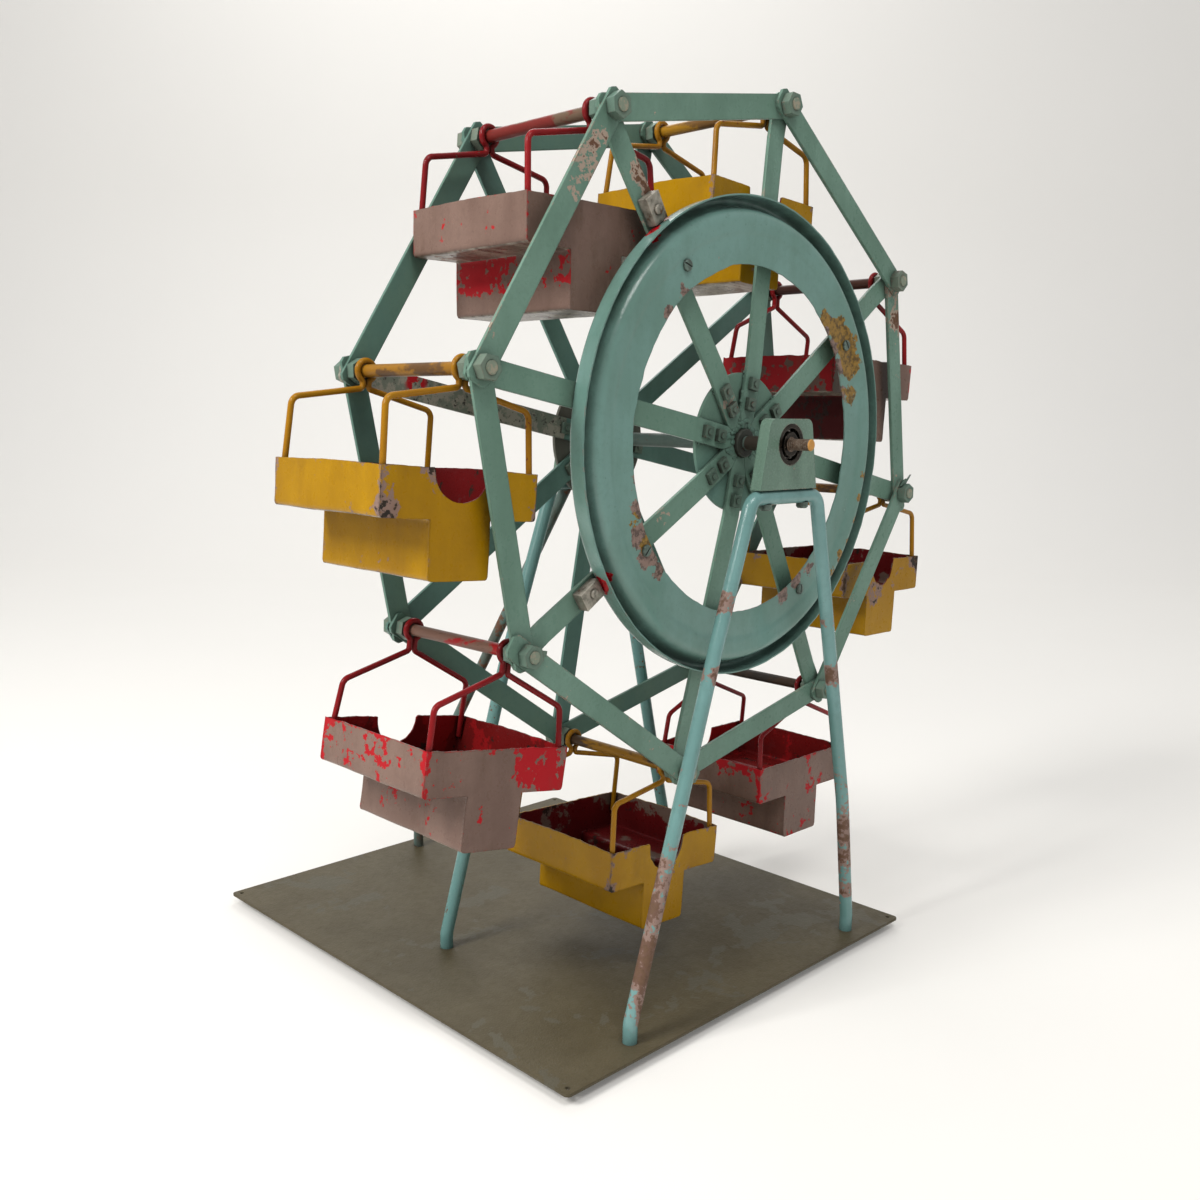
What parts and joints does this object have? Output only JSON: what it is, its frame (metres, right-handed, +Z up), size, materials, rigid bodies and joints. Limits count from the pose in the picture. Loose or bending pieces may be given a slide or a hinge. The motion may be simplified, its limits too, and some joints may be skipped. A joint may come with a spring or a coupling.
{
  "type": "toy ferris wheel",
  "caption": "Tabletop toy ferris wheel on a sheet base: octagonal bar wheel on ball bearings, pressed ring, bent rod legs and swinging sheet gondolas on wire hangers",
  "frame": {"origin": "bottom centre of the whole object's box, on the plane the foot nuts rest on", "axes": "+Z up, +Y along the axle from the front face to the rear, +X to the right seen from the front"},
  "size_m": [0.4608, 0.3334, 0.5057],
  "materials": {
    "turquoise": "brushed-on sea green paint, chipped",
    "gondola_yellow": "mustard paint, worn",
    "gondola_red": "mauve grey over red, flaking",
    "wire_yellow": "mustard paint on wire",
    "wire_red": "red paint on wire",
    "rod_red": "red paint on round rod, worn",
    "base_grey": "mottled grey paint",
    "bare_steel": "worn bare steel, rusty"
  },
  "bodies": {
    "stand": {"base_plate": "base_grey", "foot_nuts": "bare_steel", "front_leg_frame": "turquoise", "rear_leg_frame": "turquoise", "rear_brace": "bare_steel", "front_bearing_block": "turquoise", "rear_bearing_block": "turquoise", "block_screws": "bare_steel", "front_bearing_outer_race": "bare_steel", "rear_bearing_outer_race": "bare_steel"},
    "wheel": {"axle": "bare_steel", "front_bearing_inner_race": "bare_steel", "rear_bearing_inner_race": "bare_steel", "front_hub_collar": "turquoise", "rear_hub_collar": "turquoise", "front_hub_disc": "turquoise", "rear_hub_disc": "turquoise", "front_spokes": "turquoise", "rear_spokes": "turquoise", "front_hub_nuts": "turquoise", "front_hub_bolts": "turquoise", "rear_hub_nuts": "turquoise", "rear_hub_bolts": "turquoise", "front_rim_bars": "turquoise", "rear_rim_bars": "turquoise", "gondola_rods": "rod_red", "outer_rod_nuts": "turquoise", "inner_rod_nuts": "turquoise", "rim_ring": "turquoise", "ring_screws": "turquoise", "ring_screw_nuts": "turquoise", "ring_blocks": "bare_steel", "ring_block_bolts": "bare_steel"},
    "front_ball_set": {"front_bearing_balls": "bare_steel"},
    "rear_ball_set": {"rear_bearing_balls": "bare_steel"},
    "gondola_1": {"tub_1": "gondola_yellow", "hangers_1": "wire_yellow"},
    "gondola_2": {"tub_2": "gondola_red", "hangers_2": "wire_red"},
    "gondola_3": {"tub_3": "gondola_yellow", "hangers_3": "wire_yellow"},
    "gondola_4": {"tub_4": "gondola_red", "hangers_4": "wire_red"},
    "gondola_5": {"tub_5": "gondola_yellow", "hangers_5": "wire_yellow"},
    "gondola_6": {"tub_6": "gondola_red", "hangers_6": "wire_red"},
    "gondola_7": {"tub_7": "gondola_yellow", "hangers_7": "wire_yellow"},
    "gondola_8": {"tub_8": "gondola_red", "hangers_8": "wire_red"}
  },
  "joints": [
    {"name": "wheel_spin", "type": "hinge", "parent": "stand", "child": "wheel", "pos_m": [0.00269, -0.1501, 0.3153], "axis": [0, 1, 0], "continuous": true},
    {"name": "front_ball_set_spin", "type": "hinge", "parent": "stand", "child": "front_ball_set", "pos_m": [0.00269, -0.1501, 0.3153], "axis": [0, 1, 0], "continuous": true},
    {"name": "rear_ball_set_spin", "type": "hinge", "parent": "stand", "child": "rear_ball_set", "pos_m": [0.00269, 0.00325, 0.3153], "axis": [0, 1, 0], "continuous": true},
    {"name": "gondola_1_swing", "type": "hinge", "parent": "wheel", "child": "gondola_1", "pos_m": [-0.17951, -0.06135, 0.34963], "axis": [0, 1, 0], "continuous": true},
    {"name": "gondola_2_swing", "type": "hinge", "parent": "wheel", "child": "gondola_2", "pos_m": [-0.09873, -0.06135, 0.47274], "axis": [0, 1, 0], "continuous": true},
    {"name": "gondola_3_swing", "type": "hinge", "parent": "wheel", "child": "gondola_3", "pos_m": [0.03768, -0.06135, 0.49717], "axis": [0, 1, 0], "continuous": true},
    {"name": "gondola_4_swing", "type": "hinge", "parent": "wheel", "child": "gondola_4", "pos_m": [0.1596, -0.06135, 0.41484], "axis": [0, 1, 0], "continuous": true},
    {"name": "gondola_5_swing", "type": "hinge", "parent": "wheel", "child": "gondola_5", "pos_m": [0.18509, -0.06135, 0.28071], "axis": [0, 1, 0], "continuous": true},
    {"name": "gondola_6_swing", "type": "hinge", "parent": "wheel", "child": "gondola_6", "pos_m": [0.10159, -0.06135, 0.15837], "axis": [0, 1, 0], "continuous": true},
    {"name": "gondola_7_swing", "type": "hinge", "parent": "wheel", "child": "gondola_7", "pos_m": [-0.03058, -0.06135, 0.1302], "axis": [0, 1, 0], "continuous": true},
    {"name": "gondola_8_swing", "type": "hinge", "parent": "wheel", "child": "gondola_8", "pos_m": [-0.15246, -0.06135, 0.21431], "axis": [0, 1, 0], "continuous": true}
  ],
  "couplings": [
    {"joint": "front_ball_set_spin", "follows": "wheel_spin", "ratio": 0.37},
    {"joint": "rear_ball_set_spin", "follows": "wheel_spin", "ratio": 0.37},
    {"joint": "gondola_1_swing", "follows": "wheel_spin", "ratio": -1},
    {"joint": "gondola_2_swing", "follows": "wheel_spin", "ratio": -1},
    {"joint": "gondola_3_swing", "follows": "wheel_spin", "ratio": -1},
    {"joint": "gondola_4_swing", "follows": "wheel_spin", "ratio": -1},
    {"joint": "gondola_5_swing", "follows": "wheel_spin", "ratio": -1},
    {"joint": "gondola_6_swing", "follows": "wheel_spin", "ratio": -1},
    {"joint": "gondola_7_swing", "follows": "wheel_spin", "ratio": -1},
    {"joint": "gondola_8_swing", "follows": "wheel_spin", "ratio": -1}
  ]
}
